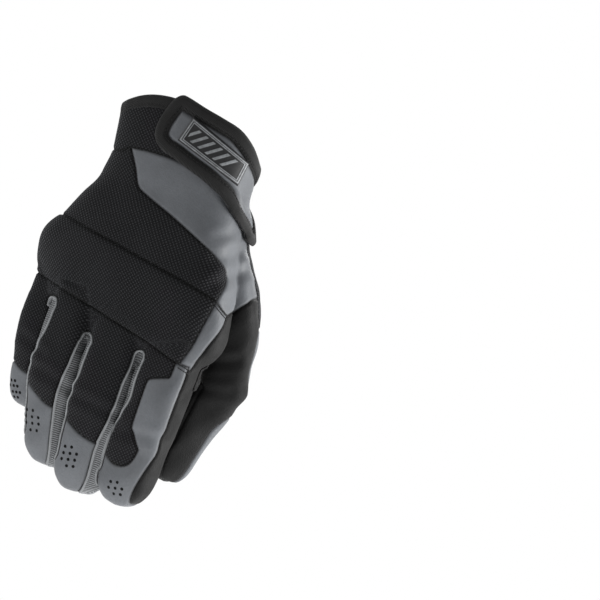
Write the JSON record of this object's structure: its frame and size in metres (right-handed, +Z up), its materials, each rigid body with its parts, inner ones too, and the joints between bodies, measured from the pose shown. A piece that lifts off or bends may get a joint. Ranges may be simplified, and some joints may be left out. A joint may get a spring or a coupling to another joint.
{
  "type": "mechanic glove",
  "caption": "Right-hand work glove in its worn shape: mesh back, grey side and finger caps, black palm with raised pads, and a wrist strap.",
  "frame": {"origin": "centre of the wrist opening, where the hand goes in", "axes": "+Z up out of the cuff, fingers down; -Y is the back of the hand, +Y the palm, +X the thumb side"},
  "size_m": [0.1439, 0.0871, 0.246],
  "materials": {
    "mesh": "black air mesh with a fine diagonal weave",
    "grey": "smooth grey synthetic leather",
    "knit": "grey ribbed stretch knit",
    "leather": "black synthetic suede",
    "pad": "black grained palm pad",
    "binding": "black stretch binding",
    "badge": "matt moulded rubber"
  },
  "bodies": {
    "root": {"back_panel": "mesh", "knuckle_band": "mesh", "finger_back_panel": "mesh", "cuff_band": "mesh", "thumb_gusset": "mesh", "side_panel": "grey", "side_strip": "grey", "index_cap": "grey", "middle_cap": "grey", "ring_cap": "grey", "little_cap": "grey", "thumb_side": "grey", "wrist_strap": "grey", "middle_index_sidewall": "knit", "ring_middle_sidewall": "knit", "little_ring_sidewall": "knit", "palm_panel": "leather", "palm_overlay": "leather", "thumb_front": "leather", "thenar_pad": "pad", "heel_pad": "pad", "cuff_binding": "binding", "strap_binding": "binding", "strap_badge": "badge"}
  },
  "joints": []
}
